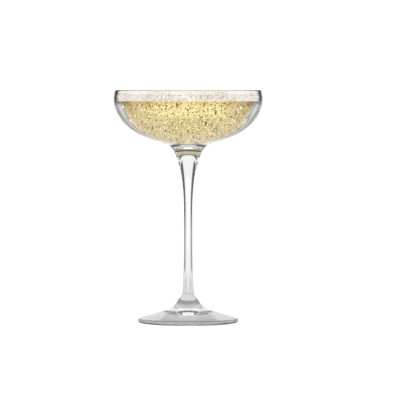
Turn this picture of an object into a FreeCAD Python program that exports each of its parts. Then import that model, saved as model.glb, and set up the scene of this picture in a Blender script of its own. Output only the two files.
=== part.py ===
import FreeCAD, Part
import Sketcher
import math
import os

# A champagne saucer filled with champagne: a wide shallow bowl on a drawn stem and a round foot.
# Millimetres, +Z up. The origin is on the glass's axis, in the plane that the foot stands on.
# Every piece is turned, so each one is a half section in the XZ plane, revolved about Z.

SIZES = {
    # bowl
    "rim_height": 165.0,       # from the table to the top of the lip
    "rim_rise": 6.5,           # from the widest ring of the bowl up to the lip
    "belly_width": 106.0,      # outer diameter at the widest ring
    "bowl_depth": 33.7,        # half height of the bowl's outer ellipse
    "belly_wall": 2.4,         # wall between the two ellipses at their widest
    "inside_lift": 3.0,        # widest ring of the inside above that of the outside
    "floor_wall": 1.4,         # from the bottom of the outer ellipse up to the floor inside
    # neck and stem
    "neck_width": 24.4,        # diameter where the neck's curve runs into the bowl
    "neck_round": 8.9,         # fillet between neck and bowl
    "neck_high_radius": 69.0,
    "neck_low_radius": 170.0,
    "neck_low_rise": 22.0,     # height taken by the lower, gentler curve of the neck
    "stem_width": 6.2,
    "waist_height": 50.0,      # below this the stem widens again
    "collar_height": 20.0,     # where the stem meets the foot
    "collar_width": 8.4,
    "collar_round": 1.5,
    # foot
    "shoulder_height": 11.0,   # where the foot's steep cone turns into its flat cone
    "shoulder_width": 21.4,
    "shoulder_round": 7.0,
    "foot_top_radius": 227.0,  # hollow curve of the foot's upper face
    "foot_width": 71.2,
    "foot_edge": 3.0,          # thickness of the foot at its edge
    "foot_edge_round": 1.3,
    "ring_breadth": 5.6,       # breadth of the flat ring that the glass stands on
    "foot_hollow": 2.2,        # rise of the foot's underside at the axis
    # contents
    "drink_below_rim": 7.9,    # from the lip down to the drink
    "foam_at_wall": 4.5,       # depth of the foam against the glass
    "foam_at_centre": 1.3,     # depth of the foam in the middle of the bowl
    "foam_slope_breadth": 14.5,  # breadth of the ring over which the foam thins out
}

# The inside of the bowl, which the glass, the champagne and the foam share.
INSIDE_HALF_WIDTH = "Sizes.belly_width / 2 - Sizes.belly_wall"
INSIDE_CENTRE = "Sizes.rim_height - Sizes.rim_rise + Sizes.inside_lift"
INSIDE_DEPTH = "Sizes.bowl_depth + Sizes.inside_lift - Sizes.floor_wall"
DRINK_LEVEL = "Sizes.rim_height - Sizes.drink_below_rim"

# Numbers that Sketcher gives to a sketch's origin and axes, and to the points of a curve.
ORIGIN = -1
H_AXIS = -1
V_AXIS = -2
START = 1
END = 2
CENTRE = 3

SAME_PLACE = 0.01              # two points nearer than this are the same corner

doc = FreeCAD.newDocument("ChampagneGlass")


def make_sheet():
    sheet = doc.addObject("Spreadsheet::Sheet", "Sizes")
    for row, (name, value) in enumerate(SIZES.items(), start=1):
        sheet.set(f"A{row}", name)
        sheet.set(f"B{row}", str(value))
        sheet.setAlias(f"B{row}", name)
    doc.recompute()
    return sheet


def size(name):
    return float(sheet.get(name))


def value_of(expression):
    """What an expression of the sheet's sizes comes to, for a curve's first place."""
    return float(sheet.evalExpression(expression))


def point(radius, height):
    return FreeCAD.Vector(radius, height, 0)


class Section:
    """A half section: sketch x is the distance from the axis, sketch y the height."""

    def __init__(self, label):
        self.body = doc.addObject("PartDesign::Body", label.capitalize())
        self.body.Label = label
        self.sketch = self.body.newObject("Sketcher::SketchObject", f"{label}_section")
        planes = self.body.Origin.OriginFeatures
        plane = next(feature for feature in planes if feature.Role == "XZ_Plane")
        self.sketch.AttachmentSupport = [(plane, "")]
        self.sketch.MapMode = "FlatFace"

    def constrain(self, kind, *places):
        return self.sketch.addConstraint(Sketcher.Constraint(kind, *places))

    def bind(self, name, expression, kind, *places):
        """Adds a dimension, names it and ties it to the sheet."""
        index = self.constrain(kind, *places)
        self.sketch.renameConstraint(index, name)
        self.sketch.setExpression(f"Constraints.{name}", expression)

    def line(self, start, end):
        return self.sketch.addGeometry(Part.LineSegment(start, end), False)

    def arc(self, centre, radius, start_angle, end_angle):
        circle = Part.Circle(centre, FreeCAD.Vector(0, 0, 1), radius)
        return self.sketch.addGeometry(Part.ArcOfCircle(circle, start_angle, end_angle), False)

    def arc_between(self, start, end, radius):
        """The arc from start to end that bends round a centre on the left of that way."""
        middle = (start + end) * 0.5
        chord = end - start
        left = point(-chord.y, chord.x).normalize()
        centre = middle + left * math.sqrt(radius ** 2 - (chord.Length / 2) ** 2)
        start_angle = math.atan2(start.y - centre.y, start.x - centre.x)
        end_angle = math.atan2(end.y - centre.y, end.x - centre.x)
        return self.arc(centre, radius, start_angle, end_angle)

    def bowl_arc(self, name, half_width, depth, height, start_angle, end_angle):
        """An arc of an upright ellipse on the axis. Its three measures are
        expressions, and the angles are where its ends lie to begin with."""
        a, b, centre = (value_of(text) for text in (half_width, depth, height))
        ellipse = Part.Ellipse(point(0, centre), a, b)
        index = self.sketch.addGeometry(Part.ArcOfEllipse(ellipse, start_angle, end_angle), False)
        self.sketch.exposeInternalGeometry(index)
        major_axis = index + 1
        minor_axis = index + 2
        self.constrain("Horizontal", major_axis)
        self.constrain("PointOnObject", index, CENTRE, V_AXIS)
        self.bind(f"{name}_width", f"2 * ({half_width})", "Distance", major_axis, 2 * a)
        self.bind(f"{name}_height", f"2 * ({depth})", "Distance", minor_axis, 2 * b)
        self.bind(f"{name}_centre", height, "DistanceY", ORIGIN, START, index, CENTRE, centre)
        return index

    def at_height(self, name, expression, curve, end):
        places = (ORIGIN, START, curve, end)
        self.bind(name, expression, "DistanceY", *places, value_of(expression))

    def at_radius(self, name, expression, curve, end):
        places = (ORIGIN, START, curve, end)
        self.bind(name, expression, "DistanceX", *places, value_of(expression))

    def revolve(self):
        turned = self.body.newObject("PartDesign::Revolution", f"{self.body.Label}_turned")
        turned.Profile = self.sketch
        turned.ReferenceAxis = (self.sketch, ["V_Axis"])
        turned.Angle = 360.0
        self.sketch.Visibility = False
        doc.recompute()
        if not self.sketch.FullyConstrained:
            raise RuntimeError(f"{self.sketch.Name} is not fully constrained")
        return turned


def inside_wall(section, start_angle, end_angle):
    """The stretch of the bowl's inside between two angles of its ellipse."""
    return section.bowl_arc(
        "inside", INSIDE_HALF_WIDTH, INSIDE_DEPTH, INSIDE_CENTRE, start_angle, end_angle)


def inside_angle(height):
    return math.asin((height - value_of(INSIDE_CENTRE)) / value_of(INSIDE_DEPTH))


def inside_radius(height):
    return value_of(INSIDE_HALF_WIDTH) * math.cos(inside_angle(height))


FLOOR_ANGLE = -math.pi / 2     # the ellipse's lowest point, on the axis


def draw_neck(glass, corner, stem_radius):
    """Two arcs that open out from the stem's straight side up to the bowl.
    Returns the arcs and the height at which the lower one leaves the stem."""
    low_radius = size("neck_low_radius")
    high_radius = size("neck_high_radius")
    low_turn = math.asin(size("neck_low_rise") / low_radius)
    inward = low_radius - high_radius
    high_x = stem_radius + low_radius - inward * math.cos(low_turn)
    high_turn = math.acos((high_x - corner.x) / high_radius)
    high_y = corner.y - high_radius * math.sin(high_turn)
    start_height = high_y - inward * math.sin(low_turn)
    low_centre = point(stem_radius + low_radius, start_height)
    high = glass.arc(point(high_x, high_y), high_radius, math.pi - high_turn, math.pi - low_turn)
    low = glass.arc(low_centre, low_radius, math.pi - low_turn, math.pi)
    return high, low, start_height


def make_glass():
    glass = Section("glass")
    half_width = size("belly_width") / 2
    stem_radius = size("stem_width") / 2
    belly_height = size("rim_height") - size("rim_rise")

    corner_angle = -math.acos(size("neck_width") / 2 / half_width)
    corner = point(size("neck_width") / 2, belly_height + size("bowl_depth") * math.sin(corner_angle))
    lip_centre_height = size("rim_height") - size("belly_wall") / 3
    lip_angle = math.asin((lip_centre_height - belly_height) / size("bowl_depth"))
    outside = glass.bowl_arc(
        "outside", "Sizes.belly_width / 2", "Sizes.bowl_depth",
        "Sizes.rim_height - Sizes.rim_rise", corner_angle, lip_angle)
    inside = inside_wall(glass, FLOOR_ANGLE, inside_angle(lip_centre_height))

    lip_outer = half_width * math.cos(lip_angle)
    lip_inner = inside_radius(lip_centre_height)
    lip_centre = point((lip_outer + lip_inner) / 2, lip_centre_height)
    lip = glass.arc(lip_centre, (lip_outer - lip_inner) / 2, 0, math.pi)
    lip_top = glass.sketch.addGeometry(Part.Point(lip_centre), True)

    neck_high, neck_low, neck_start = draw_neck(glass, corner, stem_radius)

    collar = point(size("collar_width") / 2, size("collar_height"))
    shoulder = point(size("shoulder_width") / 2, size("shoulder_height"))
    foot_top_rim = point(size("foot_width") / 2, size("foot_edge"))
    foot_rim = point(size("foot_width") / 2, 0)
    ring_inner = foot_rim - point(size("ring_breadth"), 0)
    hollow_top = point(0, size("foot_hollow"))
    waist = point(stem_radius, size("waist_height"))

    stem = glass.line(point(stem_radius, neck_start), waist)
    flare_drop = waist.y - collar.y
    flare_out = collar.x - waist.x
    flare_radius = (flare_drop ** 2 + flare_out ** 2) / (2 * flare_out)
    flare = glass.arc_between(waist, collar, flare_radius)
    cone = glass.line(collar, shoulder)
    foot_top = glass.arc_between(shoulder, foot_top_rim, size("foot_top_radius"))
    edge = glass.line(foot_top_rim, foot_rim)
    ring = glass.line(foot_rim, ring_inner)
    hollow_radius = (ring_inner.x ** 2 + hollow_top.y ** 2) / (2 * hollow_top.y)
    hollow = glass.arc_between(ring_inner, hollow_top, hollow_radius)
    axis = glass.line(hollow_top, point(0, value_of(INSIDE_CENTRE) - value_of(INSIDE_DEPTH)))

    for curve, end, following, start in (
            (neck_high, START, outside, START), (flare, END, cone, START),
            (cone, END, foot_top, START), (foot_top, END, edge, START), (edge, END, ring, START),
            (ring, END, hollow, START), (hollow, END, axis, START), (axis, END, inside, START)):
        glass.constrain("Coincident", curve, end, following, start)
    for curve, end, following, start in (
            (outside, END, lip, START), (lip, END, inside, END),
            (neck_high, END, neck_low, START), (neck_low, END, stem, START),
            (stem, END, flare, START)):
        glass.constrain("Tangent", curve, end, following, start)
    glass.constrain("Vertical", stem)
    glass.constrain("Vertical", axis)
    glass.constrain("Vertical", edge)
    glass.constrain("Horizontal", ring)
    glass.constrain("PointOnObject", axis, START, V_AXIS)
    glass.constrain("PointOnObject", hollow, CENTRE, V_AXIS)
    glass.constrain("PointOnObject", lip_top, START, lip)
    glass.constrain("Vertical", lip_top, START, lip, CENTRE)

    glass.at_height("rim", "Sizes.rim_height", lip_top, START)
    glass.at_radius("neck_corner", "Sizes.neck_width / 2", outside, START)
    for name, curve in (("neck_high_radius", neck_high), ("neck_low_radius", neck_low)):
        glass.bind(name, f"Sizes.{name}", "Radius", curve, size(name))
    rise = size("neck_low_rise")
    glass.bind("neck_rise", "Sizes.neck_low_rise", "DistanceY", neck_low, END, neck_low, START, rise)
    glass.at_radius("stem", "Sizes.stem_width / 2", stem, END)
    glass.at_height("waist", "Sizes.waist_height", stem, END)
    glass.at_radius("collar_radius", "Sizes.collar_width / 2", cone, START)
    glass.at_height("collar_height", "Sizes.collar_height", cone, START)
    glass.at_radius("shoulder_radius", "Sizes.shoulder_width / 2", cone, END)
    glass.at_height("shoulder_height", "Sizes.shoulder_height", cone, END)
    radius = size("foot_top_radius")
    glass.bind("foot_top_radius", "Sizes.foot_top_radius", "Radius", foot_top, radius)
    glass.at_radius("foot_radius", "Sizes.foot_width / 2", edge, START)
    glass.at_height("foot_edge", "Sizes.foot_edge", edge, START)
    glass.constrain("PointOnObject", ring, END, H_AXIS)
    glass.bind("ring", "Sizes.ring_breadth", "DistanceX", ring, END, ring, START,
               size("ring_breadth"))
    glass.at_height("foot_hollow", "Sizes.foot_hollow", hollow, END)
    glass.revolve()

    round_ring(glass.body, "neck_round", [corner])
    round_ring(glass.body, "collar_round", [collar])
    round_ring(glass.body, "shoulder_round", [shoulder])
    round_ring(glass.body, "foot_edge_round", [foot_top_rim, foot_rim])
    return glass.body


def round_ring(body, name, corners):
    """Fillets the circular edges that pass through the given corners of the section."""
    turned = body.Tip
    edges = []
    for number, edge in enumerate(turned.Shape.Edges, start=1):
        place = edge.Vertexes[0].Point
        ring = point(math.hypot(place.x, place.y), place.z)
        if edge.isClosed() and any(ring.isEqual(corner, SAME_PLACE) for corner in corners):
            edges.append(f"Edge{number}")
    if len(edges) != len(corners):
        raise RuntimeError(f"{name}: {len(edges)} edges found for {len(corners)} corners")
    fillet = body.newObject("PartDesign::Fillet", name)
    fillet.Base = (turned, edges)
    fillet.setExpression("Radius", f"Sizes.{name}")
    doc.recompute()


def make_champagne():
    drink = Section("champagne")
    level = value_of(DRINK_LEVEL)
    floor = value_of(INSIDE_CENTRE) - value_of(INSIDE_DEPTH)
    wall = inside_wall(drink, FLOOR_ANGLE, inside_angle(level))
    top = drink.line(point(inside_radius(level), level), point(0, level))
    axis = drink.line(point(0, level), point(0, floor))
    drink.constrain("Coincident", wall, END, top, START)
    drink.constrain("Coincident", top, END, axis, START)
    drink.constrain("Coincident", axis, END, wall, START)
    drink.constrain("Horizontal", top)
    drink.constrain("Vertical", axis)
    drink.constrain("PointOnObject", axis, START, V_AXIS)
    drink.at_height("level", DRINK_LEVEL, axis, START)
    drink.revolve()
    return drink.body


def make_foam():
    """A layer over the whole drink: a thin disc that rises to a deep collar at the wall."""
    foam = Section("foam")
    level = value_of(DRINK_LEVEL)
    centre_top = f"{DRINK_LEVEL} + Sizes.foam_at_centre"
    wall_top = f"{DRINK_LEVEL} + Sizes.foam_at_wall"
    thin = value_of(centre_top)
    thick = value_of(wall_top)
    wall = inside_wall(foam, inside_angle(level), inside_angle(thick))
    reach = inside_radius(thick)
    breadth = size("foam_slope_breadth")
    rise = thick - thin
    bottom = foam.line(point(0, level), point(inside_radius(level), level))
    slope_start = point(reach - breadth, thin)
    slope = foam.arc_between(slope_start, point(reach, thick), (breadth ** 2 + rise ** 2) / (2 * rise))
    top = foam.line(point(0, thin), slope_start)
    axis = foam.line(point(0, level), point(0, thin))
    foam.constrain("Coincident", bottom, END, wall, START)
    foam.constrain("Coincident", wall, END, slope, END)
    foam.constrain("Tangent", top, END, slope, START)
    foam.constrain("Coincident", axis, END, top, START)
    foam.constrain("Coincident", axis, START, bottom, START)
    foam.constrain("Horizontal", bottom)
    foam.constrain("Horizontal", top)
    foam.constrain("Vertical", axis)
    foam.constrain("PointOnObject", axis, START, V_AXIS)
    foam.at_height("level", DRINK_LEVEL, bottom, START)
    foam.at_height("centre_top", centre_top, axis, END)
    foam.at_height("wall_top", wall_top, wall, END)
    foam.bind("slope", "Sizes.foam_slope_breadth", "DistanceX", slope, START, slope, END, breadth)
    foam.revolve()
    return foam.body


def check(bodies):
    for thing in doc.Objects:
        if "Invalid" in thing.State or "Error" in thing.State:
            raise RuntimeError(f"{thing.Name} failed: {thing.State}")
    for body in bodies:
        if body.Shape.isNull() or not body.Shape.isValid() or len(body.Shape.Solids) != 1:
            raise RuntimeError(f"{body.Label} is not one sound solid")


sheet = make_sheet()
bodies = [make_glass(), make_champagne(), make_foam()]
doc.recompute()
check(bodies)
os.makedirs("parts", exist_ok=True)
for body in bodies:
    body.Shape.exportStep(f"parts/{body.Label}.step")
    box = body.Shape.optimalBoundingBox(True, False)
    print(f"{body.Label}: {body.Shape.Volume / 1000:.2f} ml, "
          f"{box.XLength:.2f} x {box.YLength:.2f} x {box.ZLength:.2f} mm, from {box.ZMin:.2f} up")
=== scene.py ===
import math

import bmesh
import bpy
import numpy as np
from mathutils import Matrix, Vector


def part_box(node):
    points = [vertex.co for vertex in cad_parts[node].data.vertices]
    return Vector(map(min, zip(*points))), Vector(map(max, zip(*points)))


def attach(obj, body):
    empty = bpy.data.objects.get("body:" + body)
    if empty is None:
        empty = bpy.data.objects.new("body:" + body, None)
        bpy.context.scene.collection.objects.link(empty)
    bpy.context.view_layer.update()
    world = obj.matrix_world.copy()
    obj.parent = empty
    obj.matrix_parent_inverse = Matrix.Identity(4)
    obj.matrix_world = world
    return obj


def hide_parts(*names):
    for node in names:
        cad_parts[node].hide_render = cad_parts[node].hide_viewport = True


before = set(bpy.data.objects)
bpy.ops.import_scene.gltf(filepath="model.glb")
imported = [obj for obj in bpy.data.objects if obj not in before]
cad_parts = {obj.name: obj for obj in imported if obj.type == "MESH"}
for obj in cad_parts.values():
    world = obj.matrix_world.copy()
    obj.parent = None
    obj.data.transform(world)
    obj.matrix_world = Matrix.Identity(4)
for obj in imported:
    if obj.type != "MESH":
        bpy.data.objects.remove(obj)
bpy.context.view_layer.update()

MM = 0.001
RANDOM = np.random.default_rng(7)

# All lengths are in millimetres, unless a comment says otherwise.

# The glass, from the table up and from its axis outward.
RIM_HEIGHT = 165.0
LIP_DROP = 0.82                # from the rim to where the lip's rounding starts
BELLY_HALF_WIDTH = 53.0
BELLY_HEIGHT = 158.5
BOWL_DEPTH = 33.7
INSIDE_HALF_WIDTH = 50.6
INSIDE_DEPTH = 35.3
INSIDE_CENTRE = 161.5
INSIDE_FLOOR = INSIDE_CENTRE - INSIDE_DEPTH
NECK_RADIUS = 12.2
NECK_ROUND = 8.9
NECK_HIGH_RADIUS = 69.0
NECK_LOW_RADIUS = 170.0
NECK_LOW_RISE = 22.0
STEM_RADIUS = 3.1
WAIST_HEIGHT = 50.0
COLLAR = np.array((4.2, 20.0))
COLLAR_ROUND = 1.5
SHOULDER = np.array((10.7, 11.0))
SHOULDER_ROUND = 7.0
FOOT_TOP_RADIUS = 227.0
FOOT_RADIUS = 35.6
FOOT_EDGE = 3.0
FOOT_EDGE_ROUND = 1.3
RING_BREADTH = 5.6
FOOT_HOLLOW = 2.2

# Where the glass has another finish than the clear one: painted shade at the lip and the foot's edge,
# and a plain part under the foot.
EDGE_SHADE_BREADTH = 1.6      # round the foot's edge
LIP_SHADE_DEPTH = 0.7         # down from the rim
UNDERSIDE_FINISH = (17, 28.5)  # radii under the foot
UNDERSIDE_MARGIN = 0.1         # above the hollow's top
FACING_DOWN = -0.9             # normal's height, at most

# The drink. Its skin colours the light, and the core inside bends it.
DRINK_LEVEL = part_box("champagne")[1][2] / MM
INTO_WALL = 0.25               # how far the contents reach into the glass
CORE_INSET = 1.2               # from the wall
CORE_TOP_INSET = 0.3           # from the foam
MENISCUS_INSET = 0.4           # from the wall
MENISCUS_UNDER_CORE = 0.05     # below the top of the core
MENISCUS_DEPTH = 2.9
MENISCUS_HEIGHTS = np.array((0.0, 0.3, 1.7, 2.0))     # above its lower edge
MENISCUS_BREADTHS = (0.15, 0.75, 0.75, 1.7)

# Bubbles in the drink: clear ones, golden ones whose dark tone is painted shade, and ones with a
# painted glint.
CLEAR_BUBBLES = 700
GOLDEN_SHADED_BUBBLES = 950
PAINTED_GLINT_BUBBLES = 650
BUBBLES_FROM_WALL = 2.0
BUBBLES_BELOW_TOP = 1.0
BUBBLE_FLATNESS = 0.6          # height over width, as the bowl draws them out upward

# The foam, thin over most of the drink and rising to the wall.
FOAM_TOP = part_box("foam")[1][2] / MM
FOAM_AT_CENTRE = 1.3
FOAM_SLOPE = 14.5              # breadth of the rising part
FOAM_LIFT = 0.02               # of its underside above the drink
FOAM_SINK = 0.35               # of its body under the tops of its bubbles
FOAM_FROM_WALL = 0.15
FOAM_STEPS = 60
FILM_THICKNESS = 0.5           # inward from the wall
FILM_BELOW_TOP = 0.05
FOAM_BUBBLES = 2300
FOAM_BUBBLE_LOWERING = 0.25    # share of a bubble's radius
FOAM_EDGE_BUBBLES = 420
EDGE_BUBBLE_JITTER = 0.006     # radians
EDGE_BUBBLE_LOWERING = 0.7     # largest share of a bubble's radius

# How much each finish bends light.
GLASS_IOR = 1.5
SKIN_IOR = 1.01                # where the drink and the foam's film overlap the glass
DRINK_IOR = 1.185
BUBBLE_IOR = 1.33              # of the drink round the gas, as these bubbles face inward
PASS_THROUGH_IOR = 1.0         # bends nothing

WHITE = (1, 1, 1, 1)

# The studio.
FLOOR_DROP = 0.05              # keeps the floor clear of the foot's ring
FLOOR_RINGS = (0, 300, 1000, 2400)
CAMERA_DISTANCE = 2.0          # metres
CAMERA_DOWN = 2.40             # degrees below level
CAMERA_RIGHT = 0.404           # degrees right of straight ahead
LENS = 244

# How fine the meshes are.
SEGMENTS = 256                 # round the axis
WALL_STEPS = 72
BAND_STEPS = 14
LIP_STEPS = 60
FINE = 400                     # points on a stretch of outline before it is thinned


# Outlines: arrays of (radius, height) points.

def arc(centre, radius, start, end, steps=FINE):
    """Part of a circle, between two angles."""
    angles = np.linspace(start, end, steps)
    return np.array(centre) + radius * np.column_stack((np.cos(angles), np.sin(angles)))


def line(start, end, steps=FINE):
    """A straight stretch with points all along it."""
    along = np.linspace(0, 1, steps)[:, None]
    return np.array(start) * (1 - along) + np.array(end) * along


def arc_between(start, end, radius):
    """From start to end round a centre on the left of that way."""
    chord = np.subtract(end, start)
    left = np.array((-chord[1], chord[0])) / np.hypot(*chord)
    centre = np.add(start, end) / 2 + left * math.sqrt(radius ** 2 - chord @ chord / 4)
    first, last = (math.atan2(*(np.subtract(p, centre)[::-1])) for p in (start, end))
    return arc(centre, radius, first, first + (last - first) % (2 * math.pi))


def bowl_arc(half_width, depth, centre, start, end, steps=FINE):
    """Part of an ellipse round a centre on the axis."""
    angles = np.linspace(start, end, steps)
    return np.column_stack((half_width * np.cos(angles), centre + depth * np.sin(angles)))


def crossing(first, second):
    """Where two outlines cross, as a place along each, in points."""
    a, b = first[:-1, None], np.diff(first, axis=0)[:, None]
    c, d = second[None, :-1], np.diff(second, axis=0)[None]
    gap = c - a
    spread = b[..., 0] * d[..., 1] - b[..., 1] * d[..., 0]
    with np.errstate(divide="ignore", invalid="ignore"):
        u = (gap[..., 0] * d[..., 1] - gap[..., 1] * d[..., 0]) / spread
        v = (gap[..., 0] * b[..., 1] - gap[..., 1] * b[..., 0]) / spread
    i, j = np.argwhere((u >= 0) & (u <= 1) & (v >= 0) & (v <= 1))[0]
    return i + u[i, j], j + v[i, j]


def at(outline, place):
    """The point at a place along an outline, in points."""
    i = min(int(place), len(outline) - 2)
    return outline[i] + (outline[i + 1] - outline[i]) * (place - i)


def fillet(first, second, radius):
    """Rounds the corner where first ends and second starts."""
    way_in, way_out = first[-1] - first[-2], second[1] - second[0]
    side = np.sign(way_in[0] * way_out[1] - way_in[1] * way_out[0])

    def aside(outline):
        way = np.gradient(outline, axis=0)
        way /= np.linalg.norm(way, axis=1)[:, None]
        return outline + side * radius * np.column_stack((-way[:, 1], way[:, 0]))

    u, v = crossing(aside(first), aside(second))
    centre = at(aside(first), u)
    start, end = at(first, u), at(second, v)
    angles = [math.atan2(*(p - centre)[::-1]) for p in (start, end)]
    turn = (angles[1] - angles[0] + math.pi) % (2 * math.pi) - math.pi
    corner = arc(centre, radius, angles[0], angles[0] + turn)
    return np.vstack((first[:int(u) + 1], start)), corner, np.vstack((end, second[int(v) + 1:]))


def thin(outline, turn=math.radians(3.0), reach=2.0):
    """Keeps a point wherever the outline has turned enough or run on far enough."""
    kept = [outline[0]]
    way = None
    for point, following in zip(outline[1:-1], outline[2:]):
        step = following - point
        if np.hypot(*step) < 1e-6:
            continue
        heading = math.atan2(step[1], step[0])
        way = heading if way is None else way
        turned = abs((heading - way + math.pi) % (2 * math.pi) - math.pi)
        if turned >= turn or np.hypot(*(point - kept[-1])) >= reach:
            kept.append(point)
            way = heading
    return np.array(kept + [outline[-1]])


def neck_outline(corner):
    """The stem's side up to where its curve meets the bowl, from the collar."""
    low_turn = math.asin(NECK_LOW_RISE / NECK_LOW_RADIUS)
    inward = NECK_LOW_RADIUS - NECK_HIGH_RADIUS
    high_x = STEM_RADIUS + NECK_LOW_RADIUS - inward * math.cos(low_turn)
    high_turn = math.acos((high_x - corner[0]) / NECK_HIGH_RADIUS)
    high_y = corner[1] - NECK_HIGH_RADIUS * math.sin(high_turn)
    low_y = high_y - inward * math.sin(low_turn)
    flare_drop, flare_out = WAIST_HEIGHT - COLLAR[1], COLLAR[0] - STEM_RADIUS
    flare_radius = (flare_drop ** 2 + flare_out ** 2) / (2 * flare_out)
    waist = (STEM_RADIUS, WAIST_HEIGHT)
    flare = arc_between(waist, COLLAR, flare_radius)[::-1]
    low_centre = (STEM_RADIUS + NECK_LOW_RADIUS, low_y)
    low = arc(low_centre, NECK_LOW_RADIUS, math.pi, math.pi - low_turn)
    high = arc((high_x, high_y), NECK_HIGH_RADIUS, math.pi - low_turn, math.pi - high_turn)
    return flare, np.vstack((line(waist, (STEM_RADIUS, low_y)), low[1:])), high


def glass_outline():
    """Half the glass, from the middle of its underside over the rim to the bowl's floor."""
    corner_angle = -math.acos(NECK_RADIUS / BELLY_HALF_WIDTH)
    corner = np.array((NECK_RADIUS, BELLY_HEIGHT + BOWL_DEPTH * math.sin(corner_angle)))
    foot_top_rim, foot_rim = (FOOT_RADIUS, FOOT_EDGE), (FOOT_RADIUS, 0)
    ring_inner, hollow_top = (FOOT_RADIUS - RING_BREADTH, 0), (0, FOOT_HOLLOW)
    hollow_radius = (ring_inner[0] ** 2 + FOOT_HOLLOW ** 2) / (2 * FOOT_HOLLOW)
    hollow = arc_between(ring_inner, hollow_top, hollow_radius)[::-1]
    ring, edge = line(ring_inner, foot_rim), line(foot_rim, foot_top_rim)
    foot_top = arc_between(SHOULDER, foot_top_rim, FOOT_TOP_RADIUS)[::-1]
    cone = line(SHOULDER, COLLAR)
    flare, stem, high = neck_outline(corner)

    lip_height = RIM_HEIGHT - LIP_DROP
    top_outer = math.asin((lip_height - BELLY_HEIGHT) / BOWL_DEPTH)
    top_inner = math.asin((lip_height - INSIDE_CENTRE) / INSIDE_DEPTH)
    outside = bowl_arc(BELLY_HALF_WIDTH, BOWL_DEPTH, BELLY_HEIGHT, corner_angle, top_outer)
    inside = bowl_arc(INSIDE_HALF_WIDTH, INSIDE_DEPTH, INSIDE_CENTRE, top_inner, -math.pi / 2)
    lip_centre = ((outside[-1][0] + inside[0][0]) / 2, lip_height)
    lip_radius = (outside[-1][0] - inside[0][0]) / 2
    lip = arc(lip_centre, lip_radius, 0, math.pi, LIP_STEPS)
    lip[:, 1] = lip_height + (lip[:, 1] - lip_height) * (RIM_HEIGHT - lip_height) / lip_radius

    ring, edge_low, edge = fillet(ring, edge, FOOT_EDGE_ROUND)
    edge, edge_high, foot_top = fillet(edge, foot_top, FOOT_EDGE_ROUND)
    foot_top, shoulder, cone = fillet(foot_top, cone, SHOULDER_ROUND)
    cone, collar, flare = fillet(cone, flare, COLLAR_ROUND)
    high, neck, outside = fillet(high, outside, NECK_ROUND)
    stretches = (hollow, ring, edge_low, edge, edge_high, foot_top, shoulder, cone, collar, flare,
                 stem, high, neck, outside, lip, inside)
    return thin(np.vstack(stretches))


def wall_outline(low, high, outward, steps):
    """Points up the inside of the bowl, moved out by some distance."""
    width, depth = INSIDE_HALF_WIDTH + outward, INSIDE_DEPTH + outward
    start, end = (math.asin(max(-1, (z - INSIDE_CENTRE) / depth)) for z in (low, high))
    return bowl_arc(width, depth, INSIDE_CENTRE, start, end, steps)


def wall_radius(height, inset=0.0):
    """How wide the bowl is inside at some height, less an inset."""
    rise = (np.asarray(height) - INSIDE_CENTRE) / (INSIDE_DEPTH - inset)
    return (INSIDE_HALF_WIDTH - inset) * np.sqrt(np.maximum(0, 1 - rise ** 2))


# Meshes

def new_piece(name, verts, faces, slot, stands_for):
    """A smooth mesh. With a slot it belongs to the object, without one to the studio."""
    mesh = bpy.data.meshes.new(name)
    mesh.from_pydata(np.asarray(verts) * MM, [], faces)
    mesh.polygons.foreach_set("use_smooth", [True] * len(mesh.polygons))
    mesh.update()
    piece = bpy.data.objects.new(name, mesh)
    bpy.context.scene.collection.objects.link(piece)
    if slot:
        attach(piece, "root")
    if stands_for:
        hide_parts(stands_for)
    return piece


def lathe(name, outline, slot=None, stands_for=None):
    """Revolves an outline about Z. A point on the axis is one vertex."""
    verts, rings = [], []
    angles = 2 * np.pi * np.arange(SEGMENTS) / SEGMENTS
    around = np.column_stack((np.cos(angles), np.sin(angles)))
    for radius, height in outline:
        if radius < 1e-6:
            rings.append([len(verts)] * SEGMENTS)
            verts.append((0, 0, height))
            continue
        rings.append(range(len(verts), len(verts) + SEGMENTS))
        verts.extend((radius * x, radius * y, height) for x, y in around)
    faces = []
    for lower, upper in zip(rings, rings[1:]):
        for i in range(SEGMENTS):
            j = (i + 1) % SEGMENTS
            corners = (lower[i], lower[j], upper[j], upper[i])
            faces.append([c for k, c in enumerate(corners) if c != corners[k - 1]])
    return new_piece(name, verts, faces, slot, stands_for)


def beads(name, centres, radii, slot, flat=1.0, inward=False):
    """Many small balls joined into one mesh."""
    form = bmesh.new()
    bmesh.ops.create_icosphere(form, subdivisions=2, radius=1.0)
    ball = np.array([v.co for v in form.verts])
    corners = np.array([[v.index for v in f.verts] for f in form.faces])
    form.free()
    ball[:, 2] *= flat
    if inward:
        corners = corners[:, ::-1]
    verts = (centres[:, None] + radii[:, None, None] * ball[None]).reshape(-1, 3)
    starts = len(ball) * np.arange(len(centres))
    faces = (starts[:, None, None] + corners[None]).reshape(-1, 3)
    return new_piece(name, verts, faces.tolist(), slot, None)


# Pieces

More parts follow.
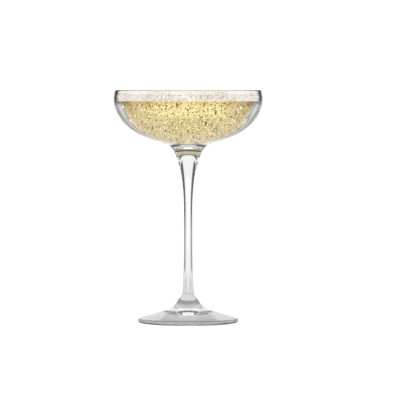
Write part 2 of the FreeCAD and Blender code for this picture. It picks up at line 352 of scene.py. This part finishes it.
def make_glass():
    """The whole glass. Its lip and the foot's edge are darker with painted shade, and part of the
    underside is plain.
    """
    piece = lathe("saucer_glass", glass_outline(), "glass", "glass")
    made, shader = material("clear_glass")
    clear(shader, GLASS_IOR)
    tinted(made, 40, WHITE, (0.985, 0.99, 0.99, 1))
    piece.data.materials.append(made)
    made, shader = material("foot_underside")
    clear(shader, PASS_THROUGH_IOR)
    piece.data.materials.append(made)
    # Painted shade: a grey tint that darkens the lip and the foot's edge.
    made, shader = material("painted_shade_edge_glass")
    clear(shader, GLASS_IOR)
    tinted(made, 150, (0.5, 0.49, 0.47, 1), (0.4, 0.39, 0.38, 1))
    piece.data.materials.append(made)
    inner, outer = UNDERSIDE_FINISH
    for face in piece.data.polygons:
        out = math.hypot(face.center.x, face.center.y) / MM
        height = face.center.z / MM
        underside = height < FOOT_HOLLOW + UNDERSIDE_MARGIN and face.normal.z < FACING_DOWN
        if underside and inner < out < outer:
            face.material_index = 1
        # The lip and the foot's edge get the painted shade.
        foot_edge = out > FOOT_RADIUS - EDGE_SHADE_BREADTH and height < FOOT_EDGE
        if foot_edge or height > RIM_HEIGHT - LIP_SHADE_DEPTH:
            face.material_index = 2


def make_drink():
    """The skin, a little into the wall, and the core inside it."""
    wall = wall_outline(INSIDE_FLOOR - INTO_WALL, DRINK_LEVEL, INTO_WALL, WALL_STEPS)
    wall[0, 0] = 0
    skin = lathe("champagne_skin", np.vstack((wall, [(0, DRINK_LEVEL)])), "champagne", "champagne")
    made, shader = material("champagne")
    clear(shader, SKIN_IOR)
    absorbing(made, (0.985, 0.915, 0.6, 1), 22)
    skin.data.materials.append(made)

    top = DRINK_LEVEL - CORE_TOP_INSET
    wall = wall_outline(INSIDE_FLOOR + CORE_INSET, top, -CORE_INSET, WALL_STEPS)
    wall[0, 0] = 0
    core = lathe("champagne_core", np.vstack((wall, [(0, top)])), "champagne", "champagne")
    made, shader = material("champagne_core")
    clear(shader, DRINK_IOR)
    tinted(made, 60, WHITE, (1, 0.99, 0.96, 1))
    core.data.materials.append(made)


def make_meniscus():
    """The richer line of drink right under the foam, round the wall."""
    top = DRINK_LEVEL - CORE_TOP_INSET - MENISCUS_UNDER_CORE
    low = top - MENISCUS_DEPTH
    wall = wall_outline(low, top, -MENISCUS_INSET, BAND_STEPS)
    breadth = np.interp(wall[:, 1], low + MENISCUS_HEIGHTS, MENISCUS_BREADTHS)
    inner = (wall - np.column_stack((breadth, np.zeros(len(wall)))))[::-1]
    ring = np.vstack((wall, inner, wall[:1]))
    piece = lathe("champagne_meniscus", ring, "champagne")
    made, shader = material("champagne_meniscus")
    clear(shader, PASS_THROUGH_IOR)
    absorbing(made, (0.78, 0.6, 0.1, 1), 430)
    piece.data.materials.append(made)


def random_radii(count, smallest, extra, bias):
    """Sizes from the smallest up. A higher bias makes more of them small."""
    return smallest + extra * RANDOM.random(count) ** bias


def scattered(count, spread):
    """Places in the drink, fewer towards the wall. A higher spread fills more of the drink."""
    centres = []
    while len(centres) < count:
        x, y = RANDOM.uniform(-1, 1, 2) * INSIDE_HALF_WIDTH
        z = RANDOM.uniform(INSIDE_FLOOR, DRINK_LEVEL - BUBBLES_BELOW_TOP)
        out = math.hypot(x, y) / max(float(wall_radius(z, BUBBLES_FROM_WALL)), 1e-6)
        if out < 1 and RANDOM.random() > out ** spread:
            centres.append((x, y, z))
    return np.array(centres)


def make_drink_bubbles():
    """Gas in the drink. The clear ones face inward, as gas in a drink bends light outward."""
    radii = random_radii(CLEAR_BUBBLES, smallest=0.24, extra=0.24, bias=2.0)
    places = scattered(CLEAR_BUBBLES, spread=4)
    clear_ones = beads("drink_bubbles", places, radii, "champagne", BUBBLE_FLATNESS, inward=True)
    made, shader = material("bubble")
    clear(shader, BUBBLE_IOR)
    tinted(made, 500, (0.9, 0.72, 0.3, 1), (0.7, 0.48, 0.1, 1))
    clear_ones.data.materials.append(made)

    # Golden ones: opaque balls whose gold is the drink's colour and whose darkness is painted shade.
    radii = random_radii(GOLDEN_SHADED_BUBBLES, smallest=0.29, extra=0.17, bias=2.0)
    places = scattered(GOLDEN_SHADED_BUBBLES, spread=6)
    shaded_golden_ones = beads("golden_shaded_bubbles", places, radii, "champagne", BUBBLE_FLATNESS)
    made, shader = material("golden_shaded_bubble")
    tinted(made, 500, (0.62, 0.4, 0.06, 1), (0.36, 0.2, 0.02, 1))
    shader.inputs["Roughness"].default_value = 0.5
    shader.inputs["Specular IOR Level"].default_value = 0.15
    shaded_golden_ones.data.materials.append(made)

    # Bright ones: pale balls with a painted glint, glowing with light of their own.
    radii = random_radii(PAINTED_GLINT_BUBBLES, smallest=0.2, extra=0.16, bias=2.0)
    places = scattered(PAINTED_GLINT_BUBBLES, spread=4)
    glint_ones = beads("painted_glint_bubbles", places, radii, "champagne", BUBBLE_FLATNESS)
    made, shader = material("painted_glint_bubble")
    tinted(made, 500, (1, 0.98, 0.88, 1), (1, 0.9, 0.62, 1))
    shader.inputs["Roughness"].default_value = 0.2
    shader.inputs["Emission Color"].default_value = (1, 0.96, 0.8, 1)
    shader.inputs["Emission Strength"].default_value = 1.3
    glint_ones.data.materials.append(made)


def foam_height(radius):
    """Top of the foam at a distance from the axis."""
    slope_start = float(wall_radius(FOAM_TOP)) - FOAM_SLOPE
    along = np.clip((np.asarray(radius) - slope_start) / FOAM_SLOPE, 0, 1)
    rise = FOAM_TOP - DRINK_LEVEL - FOAM_AT_CENTRE
    return DRINK_LEVEL + FOAM_AT_CENTRE + rise * along ** 2


def make_foam():
    """The body of the foam and the wet film between it and the wall."""
    bottom = DRINK_LEVEL + FOAM_LIFT
    wall = wall_outline(bottom, FOAM_TOP - FOAM_SINK, -FOAM_FROM_WALL, BAND_STEPS)
    radii = np.linspace(wall[-1, 0], 0, FOAM_STEPS)
    top = np.column_stack((radii, foam_height(radii) - FOAM_SINK))
    layer = lathe("foam_layer", np.vstack(([(0, bottom)], wall, top[1:])), "foam", "foam")
    foam = foam_material()
    layer.data.materials.append(foam)

    film_top = FOAM_TOP - FOAM_SINK - FILM_BELOW_TOP
    outer = wall_outline(bottom, film_top, INTO_WALL, BAND_STEPS)
    inner = wall_outline(bottom, film_top, -FILM_THICKNESS, BAND_STEPS)
    film = lathe("foam_film", np.vstack((outer, inner[::-1], outer[:1])), "foam", "foam")
    made, shader = material("foam_film")
    clear(shader, SKIN_IOR)
    film.data.materials.append(made)
    make_foam_bubbles(foam)


def make_foam_bubbles(foam):
    """Bubbles all over the foam, and a row of them along the wall."""
    reach = float(wall_radius(FOAM_TOP)) - FOAM_FROM_WALL
    radii = random_radii(FOAM_BUBBLES, smallest=0.3, extra=0.75, bias=2.2)
    out = (reach - radii) * np.sqrt(RANDOM.random(FOAM_BUBBLES))
    turn = RANDOM.uniform(0, 2 * np.pi, FOAM_BUBBLES)
    high = foam_height(out) - FOAM_SINK - FOAM_BUBBLE_LOWERING * radii
    places = np.column_stack((out * np.cos(turn), out * np.sin(turn), high))
    dome = beads("foam_bubbles", places, radii, "foam")
    dome.data.materials.append(foam)

    radii = random_radii(FOAM_EDGE_BUBBLES, smallest=0.3, extra=0.45, bias=1.0)
    turn = np.arange(FOAM_EDGE_BUBBLES) * 2 * np.pi / FOAM_EDGE_BUBBLES
    turn = turn + RANDOM.normal(0, EDGE_BUBBLE_JITTER, FOAM_EDGE_BUBBLES)
    out = reach - radii
    lowering = RANDOM.uniform(0.0, EDGE_BUBBLE_LOWERING, FOAM_EDGE_BUBBLES)
    high = FOAM_TOP - FOAM_SINK - lowering * radii
    places = np.column_stack((out * np.cos(turn), out * np.sin(turn), high))
    collar = beads("foam_edge_bubbles", places, radii, "foam")
    collar.data.materials.append(foam)


# Finishes

def material(name):
    """A new finish and its shader."""
    made = bpy.data.materials.new(name)
    made.use_nodes = True
    return made, made.node_tree.nodes["Principled BSDF"]


def clear(shader, ior):
    """Smooth and see-through."""
    shader.inputs["Base Color"].default_value = WHITE
    shader.inputs["Transmission Weight"].default_value = 1
    shader.inputs["Roughness"].default_value = 0
    shader.inputs["IOR"].default_value = ior


def drifting_tint():
    """Two colours that drift into each other over the surface."""
    group = bpy.data.node_groups.new("drifting_tint", "ShaderNodeTree")
    for name, kind in (("Scale", "Float"), ("One", "Color"), ("Other", "Color")):
        group.interface.new_socket(name, in_out="INPUT", socket_type="NodeSocket" + kind)
    group.interface.new_socket("Color", in_out="OUTPUT", socket_type="NodeSocketColor")
    nodes, links = group.nodes, group.links
    given, result = nodes.new("NodeGroupInput"), nodes.new("NodeGroupOutput")
    place, noise = nodes.new("ShaderNodeTexCoord"), nodes.new("ShaderNodeTexNoise")
    share, mix = nodes.new("ShaderNodeMapRange"), nodes.new("ShaderNodeMix")
    mix.data_type = "RGBA"
    share.inputs["From Min"].default_value = 0.4
    share.inputs["From Max"].default_value = 0.6
    links.new(place.outputs["Object"], noise.inputs["Vector"])
    links.new(given.outputs["Scale"], noise.inputs["Scale"])
    links.new(noise.outputs[0], share.inputs["Value"])
    links.new(share.outputs[0], mix.inputs["Factor"])
    links.new(given.outputs["One"], mix.inputs[6])
    links.new(given.outputs["Other"], mix.inputs[7])
    links.new(mix.outputs[2], result.inputs["Color"])
    return group


def absorbing(made, colour, density):
    """Lets the inside of a clear finish take up light."""
    absorb = made.node_tree.nodes.new("ShaderNodeVolumeAbsorption")
    absorb.inputs["Color"].default_value = colour
    absorb.inputs["Density"].default_value = density
    output = made.node_tree.nodes["Material Output"]
    made.node_tree.links.new(absorb.outputs[0], output.inputs["Volume"])


def tinted(made, scale, one, other):
    """Puts the drifting tint into a finish, from one colour to the other."""
    nodes = made.node_tree.nodes
    node = nodes.new("ShaderNodeGroup")
    node.node_tree = bpy.data.node_groups.get("drifting_tint") or drifting_tint()
    node.inputs["Scale"].default_value = scale
    node.inputs["One"].default_value = one
    node.inputs["Other"].default_value = other
    made.node_tree.links.new(node.outputs[0], nodes["Principled BSDF"].inputs["Base Color"])


def foam_material():
    """Pale cells with browner seams, and a painted glow, least on top."""
    made, shader = material("foam")
    nodes, links = made.node_tree.nodes, made.node_tree.links
    place = nodes.new("ShaderNodeTexCoord")
    cells = nodes.new("ShaderNodeTexVoronoi")
    cells.inputs["Scale"].default_value = 900
    links.new(place.outputs["Object"], cells.inputs["Vector"])
    tint = nodes.new("ShaderNodeValToRGB")
    tint.color_ramp.elements[0].position = 0.32
    tint.color_ramp.elements[0].color = (0.98, 0.97, 0.95, 1)
    tint.color_ramp.elements[1].position = 0.72
    tint.color_ramp.elements[1].color = (0.62, 0.52, 0.36, 1)
    links.new(cells.outputs["Distance"], tint.inputs["Fac"])
    links.new(tint.outputs["Color"], shader.inputs["Base Color"])
    shader.inputs["Roughness"].default_value = 0.35
    # Painted glow: the foam's own colours as emission on its sides and underside, a dim grey on top.
    upward = nodes.new("ShaderNodeSeparateXYZ")
    links.new(nodes.new("ShaderNodeNewGeometry").outputs["Normal"], upward.inputs[0])
    painted_glow = nodes.new("ShaderNodeMix")
    painted_glow.data_type = "RGBA"
    links.new(upward.outputs["Z"], painted_glow.inputs["Factor"])
    links.new(tint.outputs["Color"], painted_glow.inputs[6])
    painted_glow.inputs[7].default_value = (0.34, 0.33, 0.31, 1)
    links.new(painted_glow.outputs[2], shader.inputs["Emission Color"])
    shader.inputs["Emission Strength"].default_value = 0.65
    bump = nodes.new("ShaderNodeBump")
    bump.inputs["Distance"].default_value = 0.0004
    bump.inputs["Strength"].default_value = 0.6
    bump.invert = True
    links.new(cells.outputs["Distance"], bump.inputs["Height"])
    links.new(bump.outputs["Normal"], shader.inputs["Normal"])
    return made


# Studio

def make_floor():
    """White to the eye, and darker in the glass, with a painted shadow that is darkest under the
    foot's edge.
    """
    floor = lathe("studio_floor", [(radius, -FLOOR_DROP) for radius in FLOOR_RINGS])
    made, shader = material("studio_floor")
    nodes, links = made.node_tree.nodes, made.node_tree.links
    shader.inputs["Roughness"].default_value = 1.0
    shader.inputs["Specular IOR Level"].default_value = 0.0
    path = nodes.new("ShaderNodeLightPath")
    glow = nodes.new("ShaderNodeMapRange")
    glow.inputs["To Max"].default_value = 0.8
    shader.inputs["Base Color"].default_value = (0.5, 0.5, 0.5, 1)
    shader.inputs["Emission Color"].default_value = WHITE
    links.new(path.outputs["Is Camera Ray"], glow.inputs["Value"])
    links.new(glow.outputs[0], shader.inputs["Emission Strength"])
    near = nodes.new("ShaderNodeMapRange")
    near.inputs["From Max"].default_value = 0.1
    painted_foot_shadow = nodes.new("ShaderNodeValToRGB")
    # Painted shadow under the foot, seen in the glass: darkest in a ring under the foot's edge.
    stops = ((0.0, 0.44), (0.25, 0.42), (0.33, 0.08), (0.40, 0.08), (0.7, 0.3))
    shades = painted_foot_shadow.color_ramp.elements
    for _ in stops[2:]:
        shades.new(1.0)
    for stop, (place, shade) in zip(shades, stops):
        stop.position = place
        stop.color = (shade, shade, shade, 1)
    links.new(near.outputs[0], painted_foot_shadow.inputs["Fac"])
    links.new(painted_foot_shadow.outputs["Color"], glow.inputs["To Min"])
    geometry = nodes.new("ShaderNodeNewGeometry")
    length = nodes.new("ShaderNodeVectorMath")
    length.operation = "LENGTH"
    links.new(geometry.outputs["Position"], length.inputs[0])
    fade = nodes.new("ShaderNodeMapRange")
    fade.inputs["From Min"].default_value = 0.15
    fade.inputs["From Max"].default_value = 0.4
    fade.inputs["To Min"].default_value = 1
    fade.inputs["To Max"].default_value = 0
    links.new(length.outputs["Value"], fade.inputs["Value"])
    links.new(length.outputs["Value"], near.inputs["Value"])
    links.new(fade.outputs[0], shader.inputs["Alpha"])
    floor.data.materials.append(made)


def make_world():
    """White to the eye. The glass shows a white room with dark corners, spokes and a high ring."""
    world = bpy.data.worlds.new("studio")
    bpy.context.scene.world = world
    world.use_nodes = True
    nodes, links = world.node_tree.nodes, world.node_tree.links
    background = nodes["Background"]
    background.inputs["Color"].default_value = WHITE
    coordinate = nodes.new("ShaderNodeTexCoord")
    split = nodes.new("ShaderNodeSeparateXYZ")
    links.new(coordinate.outputs["Generated"], split.inputs[0])

    def put(value, socket):
        if isinstance(value, (int, float)):
            socket.default_value = value
        else:
            links.new(value, socket)

    def math_node(kind, *values):
        node = nodes.new("ShaderNodeMath")
        node.operation = kind
        for place, value in enumerate(values):
            put(value, node.inputs[place])
        return node.outputs[0]

    def ramp(value, start, end, low=0.0, high=1.0):
        node = nodes.new("ShaderNodeMapRange")
        node.interpolation_type = "SMOOTHSTEP"
        put(value, node.inputs["Value"])
        limits = (("From Min", start), ("From Max", end), ("To Min", low), ("To Max", high))
        for name, number in limits:
            put(number, node.inputs[name])
        return node.outputs[0]

    def both(first, second):
        return math_node("MULTIPLY", first, second)

    # Round the compass: sine and cosine of twice the bearing, then masks with four and eight peaks.
    x, y, z = split.outputs
    xx, yy = both(x, x), both(y, y)
    level_reach = math_node("ADD", math_node("ADD", xx, yy), 1e-6)
    sine = math_node("DIVIDE", both(both(x, y), 2.0), level_reach)
    cosine = math_node("DIVIDE", math_node("SUBTRACT", xx, yy), level_reach)
    four = math_node("ABSOLUTE", sine)
    eight = math_node("ABSOLUTE", both(both(sine, cosine), 2.0))

    # Light: brighter low down, straight ahead at eye level and overhead.
    light = ramp(z, -0.16, -0.10, 1.34, 0.90)
    eye_level = both(ramp(z, -0.07, -0.03), ramp(z, 0.13, 0.09))
    ahead = both(eye_level, ramp(four, 0.45, 0.2))
    light = math_node("ADD", light, both(ahead, 0.32))
    light = math_node("ADD", light, ramp(z, 0.04, 0.07, 0.0, 0.03))
    light = math_node("ADD", light, ramp(z, 0.45, 0.75, 0.0, 0.12))

    # Dark: four corners at the sides, eight spokes low down, and a ring high up.
    at_side = both(ramp(z, -0.12, -0.10), ramp(z, 0.44, 0.36))
    corner_depth = ramp(z, -0.052, -0.040, 0.66, 0.93)
    corners = both(ramp(four, 0.70, 0.84), both(at_side, corner_depth))
    below = both(ramp(z, -0.10, -0.14), ramp(z, -0.75, -0.6))
    spokes = both(ramp(eight, 0.5, 0.8), both(below, 0.72))
    ring = both(ramp(z, 0.46, 0.50), both(ramp(z, 0.64, 0.60), 0.85))
    dark = math_node("MAXIMUM", math_node("MAXIMUM", ring, corners), spokes)

    in_glass = both(light, math_node("SUBTRACT", 1.0, dark))
    path = nodes.new("ShaderNodeLightPath")
    to_the_eye = both(path.outputs["Is Camera Ray"], 1.1)
    strength = math_node("MAXIMUM", in_glass, to_the_eye)
    links.new(strength, background.inputs["Strength"])


def make_camera():
    data = bpy.data.cameras.new("camera")
    camera = bpy.data.objects.new("camera", data)
    bpy.context.scene.collection.objects.link(camera)
    data.lens = LENS
    data.sensor_width = 36
    data.clip_end = 20
    camera.location = (0, -CAMERA_DISTANCE, RIM_HEIGHT * MM)
    camera.rotation_euler = (math.radians(90 - CAMERA_DOWN), 0, math.radians(-CAMERA_RIGHT))
    bpy.context.scene.camera = camera
    bpy.context.scene.view_settings.view_transform = "Standard"


make_camera()
make_world()
make_floor()
make_glass()
make_drink()
make_meniscus()
make_drink_bubbles()
make_foam()
